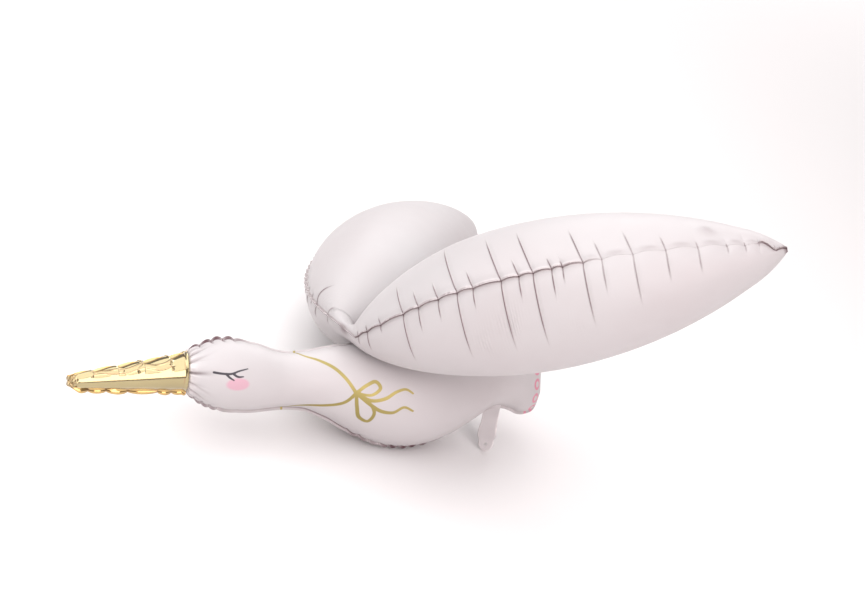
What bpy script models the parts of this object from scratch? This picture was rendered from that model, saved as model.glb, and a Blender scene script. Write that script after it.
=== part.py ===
"""A foil balloon of a flying stork, lying on the ground.

It is three foil pieces: the body with its neck, head, tail and filling tab, the gold beak, and a
pair of wings that share one envelope and are glued to the back by their narrow waist.
Lengths are in metres. The pieces are modelled as the bird flies, with the beak towards -X and the
body's seam in the plane y = 0, under an empty that lays the whole bird down on its side.
"""

import math

import bmesh
import bpy
import numpy as np
from mathutils import Matrix, Vector

# Foil and welded seams
SEAM_WIDTH = 0.006
SEAM_THICKNESS = 0.0012
CONTACT_GAP = 0.0003
FLOOR_PRESS = 0.0015

# Wings: leaves whose chord follows a power of the distance from the waist times one of that to the tip
WING_LENGTH = 0.75
WING_CHORD = 0.28
WING_THICKNESS = 0.248
WING_SWEEP = math.radians(48.4)
WING_RISE = math.radians(14.1)
WING_TWIST_ROOT = math.radians(11.8)
WING_TWIST_TIP = math.radians(25.3)
WING_BEND = 0.032
WING_ROOT_POWER = 0.686
WING_TIP_POWER = 0.808
WING_ROOT_SHARE = 0.02
WING_TIP_SHARE = 0.997
WING_PUCKERS = 22
WING_PUCKER_DEPTH = 0.005
WING_FULL_PUCKER_SHARE = 0.35
WAIST_HALF_WIDTH = 0.022
WAIST_PINCH_SHARE = 0.95

# Body: the seam lines along its back and belly, as shares of its length: distance behind the front
# of the head, and heights of the back and of the belly above the point of the back under the waist
BODY_LENGTH = 0.702
BODY_WIDTH_SHARE = 0.93
BODY_WAIST_SHARE = 0.4074
WAIST_PRESS = 0.002
BODY_OUTLINE_SHARES = (
    (0.000, -0.013, -0.104),
    (0.027, 0.001, -0.125),
    (0.055, 0.012, -0.139),
    (0.085, 0.016, -0.147),
    (0.160, 0.006, -0.153),
    (0.245, -0.017, -0.148),
    (0.305, -0.014, -0.153),
    (0.360, -0.005, -0.174),
    (0.440, 0.003, -0.217),
    (0.513, 0.006, -0.246),
    (0.607, 0.006, -0.255),
    (0.700, -0.003, -0.233),
    (0.785, -0.020, -0.192),
    (0.835, -0.033, -0.164),
    (0.885, -0.042, -0.161),
    (0.930, -0.037, -0.177),
    (0.962, -0.031, -0.176),
    (0.988, -0.039, -0.155),
    (1.000, -0.065, -0.123),
)
TAIL_FLAT_FROM_SHARE = 0.86
TAIL_FLAT_POWER = 0.7
BODY_PUCKERS = 32
BODY_PUCKERS_CROWD_SHARE = 0.6
BODY_PUCKER_DEPTH = 0.003

# Beak
BEAK_LENGTH = 0.200
BEAK_BASE_HEIGHT = 0.062
BEAK_BASE_WIDTH = 0.058
BEAK_TIP_HEIGHT = 0.018
BEAK_TIP_WIDTH = 0.014
BEAK_DROP = 0.013
BEAK_PUCKERS = 9
BEAK_PUCKER_DEPTH = 0.0022
BEAK_TIP_SHARE = 0.97
BEAK_TIP_POWER = 14

# Filling tab
TAB_LENGTH = 0.087
TAB_WIDTH = 0.033
TAB_THICKNESS = 0.0015
TAB_PLACE_SHARE = 0.851
TAB_LEAN = math.radians(8.0)
TAB_HOLE_DIAMETER = 0.006
TAB_HOLE_FROM_END = 0.0145

SHEET_POINTS = 10
FACETS_OF_HOLE = 16


def smooth_line(stations, values, at):
    """Curve through the points (stations, values), whose slope at each comes from its neighbours."""
    slopes = np.gradient(values, stations)
    k = np.clip(np.searchsorted(stations, at, side="right") - 1, 0, len(stations) - 2)
    step = stations[k + 1] - stations[k]
    u = (at - stations[k]) / step
    left = values[k] * (1 + 2 * u) * (1 - u) ** 2 + slopes[k] * step * u * (1 - u) ** 2
    right = values[k + 1] * (3 - 2 * u) * u**2 - slopes[k + 1] * step * u**2 * (1 - u)
    return left + right


def pucker_stations(puckers):
    """Shares of a length, two for each pucker: its valley and its crest. Valleys come first."""
    share = np.linspace(0.0, 1.0, 2 * puckers + 1)
    return share, np.arange(2 * puckers + 1) % 2 == 0


def section(half_height, half_width, drawn_in, grow=0.0):
    """Cross-section of an inflated two-sheet tube: (across, out) round from one seam to itself.

    Each sheet is half an ellipse, and a thin welded border stands out at both seams. A pucker
    draws the sheets in near the seams by a length and leaves their crowns alone.
    """
    film = SEAM_THICKNESS / 2 + grow
    angle = np.linspace(0.0, math.pi, SHEET_POINTS)
    near_seam = np.abs(np.cos(angle)) ** 3
    across = -(half_height + grow - drawn_in) * np.cos(angle)
    out = (half_width + grow) * np.sin(angle) * (1 - near_seam * drawn_in / half_height)
    out = np.maximum(out, film)
    border = across[-1] + SEAM_WIDTH
    across = np.concatenate([[-border], across, [border]])
    out = np.concatenate([[film], out, [film]])
    return np.concatenate([across, across[::-1]]), np.concatenate([out, -out[::-1]])


def leaf_size(share):
    """Size of the leaf's sections as a share of the largest, at shares of the wing's length."""
    peak = WING_ROOT_POWER / (WING_ROOT_POWER + WING_TIP_POWER)
    highest = peak**WING_ROOT_POWER * (1 - peak) ** WING_TIP_POWER
    return share**WING_ROOT_POWER * (1 - share) ** WING_TIP_POWER / highest


def wing_rings(grow=0.0):
    """Rings of the right wing from its waist to its tip, in the bird's frame."""
    share, valley = pucker_stations(WING_PUCKERS)
    share = WING_ROOT_SHARE + (WING_TIP_SHARE - WING_ROOT_SHARE) * share
    leaf = leaf_size(share)
    along = np.array(
        [
            math.sin(WING_SWEEP) * math.cos(WING_RISE),
            -math.cos(WING_SWEEP) * math.cos(WING_RISE),
            math.sin(WING_RISE),
        ]
    )
    back = np.array([math.cos(WING_SWEEP), math.sin(WING_SWEEP), 0.0])
    up = np.cross(along, back)
    rings = []
    for t, size, low in zip(share, leaf, valley):
        twist = WING_TWIST_ROOT + (WING_TWIST_TIP - WING_TWIST_ROOT) * t
        chord = back * math.cos(twist) - up * math.sin(twist)
        crown = up * math.cos(twist) + back * math.sin(twist)
        centre = along * WING_LENGTH * t - back * WING_BEND * math.sin(math.pi * t)
        centre[1] -= WAIST_HALF_WIDTH
        drawn_in = WING_PUCKER_DEPTH * min(1.0, size / WING_FULL_PUCKER_SHARE) if low else 0.0
        across, out = section(WING_CHORD / 2 * size, WING_THICKNESS / 2 * size, drawn_in, grow)
        rings.append(centre + across[:, None] * chord + out[:, None] * crown)
    return np.array(rings)


def both_wings(grow=0.0):
    """Rings from the tip of the right wing, through the waist, to the tip of the left wing."""
    right = wing_rings(grow)
    left = right * [1, -1, 1]
    waist = (right[0] + left[0]) / 2
    middle = waist.mean(axis=0)
    waist = middle + (waist - middle) * WAIST_PINCH_SHARE
    return np.concatenate([right[::-1], [waist], left])


def body_place(share):
    """Places along the bird, and heights of the back seam and the belly seam, at shares of the body.

    The welded border of the back presses a little into the underside of the wings' waist.
    """
    table = np.array(BODY_OUTLINE_SHARES)
    waist_underside = WING_THICKNESS / 2 * leaf_size(WING_ROOT_SHARE) * WAIST_PINCH_SHARE
    back = WAIST_PRESS - waist_underside - SEAM_WIDTH
    along = (share - BODY_WAIST_SHARE) * BODY_LENGTH
    top = back + smooth_line(table[:, 0], table[:, 1], share) * BODY_LENGTH
    bottom = back + smooth_line(table[:, 0], table[:, 2], share) * BODY_LENGTH
    return along, top, bottom


def body_rings():
    """Rings of the body from the head's front to the end of the tail, in the bird's frame."""
    share, valley = pucker_stations(BODY_PUCKERS)
    share = share - BODY_PUCKERS_CROWD_SHARE * np.sin(2 * math.pi * share) / (2 * math.pi)
    along, top, bottom = body_place(share)
    flat = np.clip((share - TAIL_FLAT_FROM_SHARE) / (1 - TAIL_FLAT_FROM_SHARE), 0, 1)
    width = BODY_WIDTH_SHARE * (1 - flat**2) ** TAIL_FLAT_POWER
    rings = []
    for place, high, low, wide, drawn in zip(along, top, bottom, width, valley):
        half = (high - low) / 2
        drawn_in = BODY_PUCKER_DEPTH if drawn else 0.0
        across, out = section(half, max(half * wide, SEAM_THICKNESS), drawn_in)
        ring = np.empty((len(across), 3))
        ring[:, 0] = place
        ring[:, 1] = out
        ring[:, 2] = (high + low) / 2 + across
        rings.append(ring)
    return np.array(rings)


def beak_rings():
    """Rings of the beak from its rim at the head to its tip, in the bird's frame."""
    share, valley = pucker_stations(BEAK_PUCKERS)
    rim, top, bottom = body_place(np.zeros(1))
    rings = []
    for s, low in zip(share, valley):
        rounding = math.sqrt(1 - (s * BEAK_TIP_SHARE) ** BEAK_TIP_POWER)
        height = (BEAK_BASE_HEIGHT + (BEAK_TIP_HEIGHT - BEAK_BASE_HEIGHT) * s) * rounding
        width = (BEAK_BASE_WIDTH + (BEAK_TIP_WIDTH - BEAK_BASE_WIDTH) * s) * rounding
        drawn_in = BEAK_PUCKER_DEPTH if low and 0 < s < 1 else 0.0
        across, out = section(height / 2, width / 2, drawn_in)
        ring = np.empty((len(across), 3))
        ring[:, 0] = rim[0] - CONTACT_GAP - BEAK_LENGTH * s
        ring[:, 1] = out
        ring[:, 2] = (top[0] + bottom[0]) / 2 - BEAK_DROP * s + across
        rings.append(ring)
    return np.array(rings)


def material(name, colour, roughness, metallic):
    made = bpy.data.materials.new(name)
    made.use_nodes = True
    shader = made.node_tree.nodes["Principled BSDF"]
    shader.inputs["Base Color"].default_value = (*colour, 1.0)
    shader.inputs["Roughness"].default_value = roughness
    shader.inputs["Metallic"].default_value = metallic
    return made


def object_of(name, bm, parent, finish=None):
    """Object made of a bmesh, under the bird's empty, with its faces turned outwards."""
    bmesh.ops.recalc_face_normals(bm, faces=bm.faces)
    mesh = bpy.data.meshes.new(name)
    bm.to_mesh(mesh)
    bm.free()
    made = bpy.data.objects.new(name, mesh)
    bpy.context.scene.collection.objects.link(made)
    made.parent = parent
    if finish:
        mesh.materials.append(finish)
        mesh.shade_smooth()
        mesh.set_sharp_from_angle(angle=math.radians(50))
    else:
        made.hide_render = True
        made.display_type = "WIRE"
    return made


def envelope(rings):
    """Closed skin over rings of equal point count, with a fan over each end."""
    bm = bmesh.new()
    loops = [[bm.verts.new(point) for point in ring] for ring in rings]
    for first, second in zip(loops, loops[1:]):
        for i in range(len(first)):
            bm.faces.new((first[i - 1], first[i], second[i], second[i - 1]))
    for loop in (loops[0], loops[-1]):
        hub = bm.verts.new(sum((v.co for v in loop), Vector()) / len(loop))
        for i in range(len(loop)):
            bm.faces.new((loop[i - 1], loop[i], hub))
    return bm


def lie_of_bird(supports, whole):
    """Matrix that lays the flying bird down, rolled to its left, until all three supports touch z = 0.

    Each support is a cloud of points. The plane through their lowest points gives the next guess
    of which way is up, and a few such steps settle it. The lowest points then sink in a little,
    and the origin comes under the middle of the whole bird.
    """
    up = Vector((0.0, -0.5, 1.0)).normalized()
    for _ in range(8):
        lowest = [Vector(cloud[np.argmin(cloud @ np.array(up))]) for cloud in supports]
        normal = (lowest[1] - lowest[0]).cross(lowest[2] - lowest[0]).normalized()
        up = normal if normal.z > 0 else -normal
    roll = Matrix.Rotation(math.atan2(up.y, up.z), 4, "X")
    pitch = Matrix.Rotation(-math.asin(up.x), 4, "Y")
    turn = pitch @ roll
    laid = whole @ np.array(turn.to_3x3()).T
    middle = (laid.min(axis=0) + laid.max(axis=0)) / 2
    return Matrix.Translation((-middle[0], -middle[1], -FLOOR_PRESS - up.dot(lowest[0]))) @ turn


def tab_shape():
    """Flat tab with a round end, hanging from the belly seam before the tail, and its hole."""
    end = TAB_WIDTH / 2
    straight = TAB_LENGTH - end
    arc = np.linspace(0.0, math.pi, FACETS_OF_HOLE // 2 + 1)
    outline = [(end, SEAM_WIDTH + TAB_WIDTH / 2)]
    outline += [(end * math.cos(a), -straight - end * math.sin(a)) for a in arc]
    outline += [(-end, SEAM_WIDTH + TAB_WIDTH / 2)]
    bm = bmesh.new()
    face = bm.faces.new([bm.verts.new((x, -TAB_THICKNESS / 2, z)) for x, z in outline])
    grown = bmesh.ops.extrude_face_region(bm, geom=[face])
    moved = [v for v in grown["geom"] if isinstance(v, bmesh.types.BMVert)]
    bmesh.ops.translate(bm, verts=moved, vec=(0, TAB_THICKNESS, 0))
    return bm


def tab_hole():
    """Round cutter through the tab, near its end."""
    bm = bmesh.new()
    bmesh.ops.create_cone(
        bm,
        cap_ends=True,
        segments=FACETS_OF_HOLE,
        radius1=TAB_HOLE_DIAMETER / 2,
        radius2=TAB_HOLE_DIAMETER / 2,
        depth=TAB_THICKNESS * 4,
        matrix=Matrix.Translation((0, 0, TAB_HOLE_FROM_END - TAB_LENGTH))
        @ Matrix.Rotation(math.pi / 2, 4, "X"),
    )
    return bm


def ground():
    """Block whose top is the ground, wider than the bird."""
    reach = WING_LENGTH + BODY_LENGTH
    bm = bmesh.new()
    below = Matrix.Translation((0, 0, -reach / 2)) @ Matrix.Diagonal((2 * reach, 2 * reach, reach, 1))
    bmesh.ops.create_cube(bm, size=1, matrix=below)
    return bm


def cut(target, operation, tool):
    boolean = target.modifiers.new(tool.name, "BOOLEAN")
    boolean.operation = operation
    boolean.object = tool


def build():
    for old in list(bpy.data.objects):
        bpy.data.objects.remove(old)

    pink = material("pink satin foil", (0.86, 0.76, 0.76), 0.32, 0.35)
    gold = material("gold foil", (0.83, 0.62, 0.20), 0.16, 1.0)

    along, _, bottom = body_place(np.array([TAB_PLACE_SHARE]))
    tab_seat = Matrix.Translation((along[0], 0, bottom[0]))
    tab_seat = tab_seat @ Matrix.Rotation(TAB_LEAN, 4, "Y")
    tab = tab_shape()
    tab.transform(tab_seat)
    hole = tab_hole()
    hole.transform(tab_seat)

    wing_points = both_wings().reshape(-1, 3)
    body_points = body_rings().reshape(-1, 3)
    tab_points = np.array([v.co for v in tab.verts])
    whole = np.concatenate([wing_points, body_points, beak_rings().reshape(-1, 3), tab_points])
    left_wing = wing_points[wing_points[:, 1] > 0]
    bird = bpy.data.objects.new("bird", None)
    bird.matrix_world = lie_of_bird((body_points, left_wing, tab_points), whole)
    bpy.context.scene.collection.objects.link(bird)
    floor = object_of("ground", ground(), None)

    wings = object_of("wings", envelope(both_wings()), bird, pink)
    cut(wings, "DIFFERENCE", floor)
    object_of("beak", envelope(beak_rings()), bird, gold)
    body = object_of("body", envelope(body_rings()), bird, pink)
    cut(body, "UNION", object_of("tab", tab, bird))
    cut(body, "DIFFERENCE", object_of("tab hole", hole, bird))
    cut(body, "DIFFERENCE", object_of("room for wings", envelope(both_wings(CONTACT_GAP)), bird))
    cut(body, "DIFFERENCE", floor)


build()
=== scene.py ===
"""Looks of a stork foil balloon that lies on the floor: satin pink film, gold beak, printed bow.

All lengths are in metres. Every piece is worked out as the bird flies, with its beak towards -X and
the seam of its body in the plane y = 0, and is then laid down on its side as the solids lie.
"""

import math

import bpy
import numpy as np
from mathutils import Matrix


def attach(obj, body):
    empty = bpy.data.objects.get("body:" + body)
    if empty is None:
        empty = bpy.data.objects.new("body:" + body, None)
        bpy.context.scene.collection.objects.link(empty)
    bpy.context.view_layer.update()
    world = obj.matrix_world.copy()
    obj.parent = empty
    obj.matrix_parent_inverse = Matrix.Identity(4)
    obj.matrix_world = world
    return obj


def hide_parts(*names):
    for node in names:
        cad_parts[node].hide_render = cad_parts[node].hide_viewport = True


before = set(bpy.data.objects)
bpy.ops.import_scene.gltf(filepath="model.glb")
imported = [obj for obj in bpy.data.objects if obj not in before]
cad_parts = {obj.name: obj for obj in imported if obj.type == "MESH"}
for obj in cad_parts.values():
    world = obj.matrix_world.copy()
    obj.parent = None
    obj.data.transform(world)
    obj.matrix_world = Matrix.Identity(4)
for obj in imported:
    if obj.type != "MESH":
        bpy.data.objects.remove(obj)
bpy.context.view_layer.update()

# Wings
# One pair of long leaves in a single envelope of satin pink film: two sheets welded along the edge,
# blown up, and narrow at the waist where they are glued to the bird's back. The welded edge can't
# shrink as the sheets swell, so it is thrown into scallops, and a crease runs in from each of them.

LIE_ROLL = math.radians(-30.7337)
LIE_PITCH = math.radians(-2.1714)
LIE_PLACE = (-0.034075, -0.085849, 0.180771)

SEAM_WIDTH = 0.006
FILM_HALF = 0.0005
SEAM_FADE = 0.10
BORDER_FADE = 0.05
CREST_POWER = 0.6

WING_LENGTH = 0.75
WING_CHORD = 0.28
WING_THICKNESS = 0.248
WING_SWEEP = math.radians(48.4)
WING_RISE = math.radians(14.1)
WING_TWIST_ROOT = math.radians(11.8)
WING_TWIST_TIP = math.radians(25.3)
WING_BEND = 0.032
WING_ROOT_POWER = 0.686
WING_TIP_POWER = 0.808
WING_ROOT_SHARE = 0.02
WING_TIP_SHARE = 0.997
WAIST_HALF_WIDTH = 0.022
WAIST_PINCH_SHARE = 0.95
WAIST_TOP_PINCH = 0.60

# Each crease of the near wing: its place as a share of the wing's length, and how far it runs over the
# upper and the lower sheet, in degrees round the section.
NEAR_CREASES = np.array([
    (0.032, 20, 34), (0.062, 15, 46), (0.103, 13, 13), (0.167, 42, 62), (0.207, 18, 26),
    (0.257, 16, 20), (0.303, 60, 62), (0.340, 15, 18), (0.404, 46, 60), (0.443, 13, 20),
    (0.474, 43, 62), (0.514, 9, 24), (0.537, 5, 13), (0.580, 33, 54), (0.619, 16, 30),
    (0.683, 24, 48), (0.750, 15, 33), (0.815, 8, 33), (0.874, 5, 14), (0.911, 9, 16),
    (0.940, 6, 10), (0.972, 24, 14),
])
# The far wing has two long ones by its root, and short ones close together.
FAR_CREASES = np.array([
    (0.024, 64, 40), (0.076, 62, 30), (0.112, 10, 14), (0.155, 8, 22), (0.190, 7, 12),
    (0.220, 9, 18), (0.250, 7, 12), (0.280, 9, 20), (0.310, 7, 12), (0.340, 9, 18),
    (0.370, 7, 12), (0.400, 9, 24), (0.440, 7, 14), (0.490, 9, 28), (0.540, 7, 16),
    (0.600, 9, 34), (0.670, 7, 20), (0.740, 9, 30), (0.810, 7, 18), (0.880, 7, 14),
    (0.940, 6, 12),
])
CREASE_LEAN = 0.045
CREASE_HALF_WIDTH = 0.0010
CREASE_DEPTH = 0.0019
CREASE_LIP = 0.30
CREASE_LIP_PLACE = 2.3
CREASE_FADE_SHARE = 0.55
SOFT_CREASE_SHADE = 0.6
REAR_REACH_SHARE = 0.5
REAR_ORDER_STEP = 5
SCALLOP_DEPTH = 0.0042
SCALLOP_REACH = 0.014
SCALLOP_BOW = 0.0026
SCALLOP_BOW_REACH = 0.012
PUFF_HEIGHT = 0.0011
PUFF_REACH = 0.010
HOLLOW_DEPTH = 0.0016
HOLLOW_PLACE = 0.0055
HOLLOW_REACH = 0.0040
HOLLOW_SHADE = 0.20
SLIM_BORDER_SHARE = 0.08
FULL_SIZE_SHARE = 0.35
BORDER_DROOP = 0.0022
BORDER_DROOP_SHARE = 0.62
NEAR_ROOT_SAG = 0.016
FAR_ROOT_SAG = -0.014
FAR_ROOT_FAN = 0.014
FAN_REACH = math.radians(100)
FAN_FULL_SHARE = 0.050
FAN_FADE_SHARES = (0.10, 0.24)
ROOT_SAG_SHARE = 0.32
TIP_SWELL = 0.06
TIP_SWELL_SHARE = 0.95
TIP_SWELL_REACH_SHARE = 0.035
NIB_SHARES = (0.989, 0.992)

# The border is wide and sharp up to the first of these stretches and again from the second one on.
# Between them it is slim and the seam is soft.
SOFT_SEAM_SHARES = (0.55, 0.63)
SHARP_TIP_SHARES = (0.93, 0.95)
# How dark the painted shadow in the groove beside a sharp seam is, on the upper and on the lower sheet.
SEAM_SHADOW_WIDTH = 0.0012
SEAM_SHADOW_TINTS = (0.45, 0.9)
# By the tip the seam is folded over: it rises at the first place and dips at the second, each with
# its reach along the wing.
TIP_FOLD_SHARES = ((0.945, 0.012), (0.972, 0.010))
TIP_FOLD_HEIGHT = 0.006
TIP_FOLD_REACH = 0.010
# Slack places, where fine pleats run beside the long creases: place along the wing, degrees round
# from the seam, below it where negative, and the reach of each both ways.
PLEAT_ZONES = ((0.355, -44, 0.030, 9), (0.420, -38, 0.045, 13), (0.565, -44, 0.018, 8),
               (0.0, 50, 0.05, 45))
DENT_SHARE = 0.835
DENT_ANGLE = math.radians(24)
DENT_DEPTH = 0.0060
DENT_REACH = 0.011
DENT_REACH_ANGLE = 0.13
DENT_SHADE = 0.22

WING_ROWS = 300
WAIST_ROWS = 9
SHEET_COLUMNS = 70
SEAM_CROWD_WIDTH = 0.10
SEAM_CROWD_WEIGHT = 6.0
CREASE_CROWD_WIDTH = 0.003
CREASE_CROWD_WEIGHT = 12.0
BORDER_COLUMNS = 2
SHEET_PART = slice(BORDER_COLUMNS, -BORDER_COLUMNS)


def lay_down(points):
    """Flying points turned by the roll, then the pitch, moved, and lifted to the floor if under it."""
    turn = Matrix.Rotation(LIE_PITCH, 3, "Y") @ Matrix.Rotation(LIE_ROLL, 3, "X")
    laid = points @ np.array(turn).T + LIE_PLACE
    laid[..., 2] = np.maximum(laid[..., 2], 0.0)
    return laid


def ease(low, high, value):
    """Smooth step: 0 up to low, 1 from high, and three x squared less two x cubed between them."""
    x = np.clip((value - low) / (high - low), 0.0, 1.0)
    return x * x * (3 - 2 * x)


def bell(off, reach):
    """1 where off is 0, and falling on both sides: e to the power of less the square of off by reach."""
    return np.exp(-((off / reach) ** 2))


def crowded(start, end, count, places, width, weight):
    """Stations from start to end, equal shares of a density that is one plus a bell at each place."""
    fine = np.linspace(start, end, 6000)
    grown = np.cumsum(1 + weight * bell(fine[:, None] - places, width).sum(axis=1))
    return np.interp(np.linspace(grown[0], grown[-1], count), grown, fine)


def with_ends(places, last=1.0):
    """Places with both ends of their range added."""
    return np.concatenate([[0.0], places, [last]])


def passed(places, at):
    """How many of the places lie behind, with the part of the way to the next one."""
    return np.interp(at, places, np.arange(len(places)))


def crest_between(places, at):
    """0 at every place and 1 half-way between two of them: a sine to the power that makes it full."""
    return np.abs(np.sin(math.pi * passed(places, at))) ** CREST_POWER


def off_seam(spread):
    """Angle round the section to the nearer of the two seams, which are at 0 and half a turn."""
    return np.minimum(spread, math.pi - spread)


def with_borders(angle):
    """Angles of the sheet's columns, with those of a border at each end, which stay at the seam's."""
    return np.concatenate([np.zeros(BORDER_COLUMNS), angle, np.full(BORDER_COLUMNS, math.pi)])


def ring(right, left=None):
    """Values of one half of a section, then the other's in reverse, or the same ones if not given."""
    return np.hstack([right, (right if left is None else left)[:, ::-1]])


def sheet_and_border(half_height, half_width, drawn_in, angle, first_width, last_width):
    """Half a section, from the outer edge of one border over one sheet to the other border's edge.

    The sheet is half an ellipse, drawn in beside both seams by a bell of the length round it, and
    the borders are flat strips.
    """
    near_seam = bell(off_seam(angle) * half_height, SCALLOP_REACH)
    across = -(half_height - drawn_in * near_seam) * np.cos(angle)
    out = np.maximum(half_width * np.sin(angle) * (1 - near_seam * drawn_in / half_height), FILM_HALF)
    step = np.arange(BORDER_COLUMNS, 0, -1) / BORDER_COLUMNS
    flat = np.full((len(across), BORDER_COLUMNS), FILM_HALF)
    first_border = across[:, :1] - first_width * step
    last_border = across[:, -1:] + last_width * step[::-1]
    return np.hstack([first_border, across, last_border]), np.hstack([flat, out, flat])


def leaf_size(share):
    """Power of the distance from the waist times a power of the distance to the tip, 1 at its peak."""
    peak = WING_ROOT_POWER / (WING_ROOT_POWER + WING_TIP_POWER)
    highest = peak**WING_ROOT_POWER * (1 - peak) ** WING_TIP_POWER
    return share**WING_ROOT_POWER * (1 - share) ** WING_TIP_POWER / highest


def wing_axes():
    """Unit vectors of the right wing: along it, back over it at right angles, and up from it."""
    flat = math.cos(WING_RISE)
    along = np.array([math.sin(WING_SWEEP) * flat, -math.cos(WING_SWEEP) * flat, math.sin(WING_RISE)])
    back = np.array([math.cos(WING_SWEEP), math.sin(WING_SWEEP), 0.0])
    return along, back, np.cross(along, back)


def wing_line(share):
    """Centre line of the right wing, bent forward by half a sine, with the axes of its section.

    The section turns evenly along the wing, from the twist at the root to the twist at the tip.
    """
    along, back, up = wing_axes()
    share = np.asarray(share)[..., None]
    twist = WING_TWIST_ROOT + (WING_TWIST_TIP - WING_TWIST_ROOT) * share
    chord = back * np.cos(twist) - up * np.sin(twist)
    crown = up * np.cos(twist) + back * np.sin(twist)
    centre = along * WING_LENGTH * share - back * WING_BEND * np.sin(math.pi * share)
    return centre - [0, WAIST_HALF_WIDTH, 0], chord, crown


def outward(points):
    """Unit normals of a grid that is closed along its second axis: cross product of its two slopes."""
    along = np.gradient(points, axis=0)
    round_it = np.roll(points, -1, axis=1) - np.roll(points, 1, axis=1)
    normal = np.cross(round_it, along)
    return normal / np.maximum(np.linalg.norm(normal, axis=2, keepdims=True), 1e-12)


def crease_field(station, angle, places, reaches, length):
    """Grooves at the places, running in from the seam at angle 0 as far as each one's reach.

    Each groove is a bell across its line with a low lip beside it, and fades out over the last part
    of its reach. Returns the depth, as a share, and the same without the lip, as a mask.
    """
    depth = np.zeros(np.broadcast(station, angle).shape)
    mask = np.zeros_like(depth)
    for place, reach in zip(places, reaches):
        off = (station - place) * length / CREASE_HALF_WIDTH
        strength = 1 - ease(CREASE_FADE_SHARE * reach, reach, angle)
        line = bell(off, 1) * strength
        mask = np.maximum(mask, line)
        depth += line - CREASE_LIP * bell(off - CREASE_LIP_PLACE, 1) * strength
    return depth, mask


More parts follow.
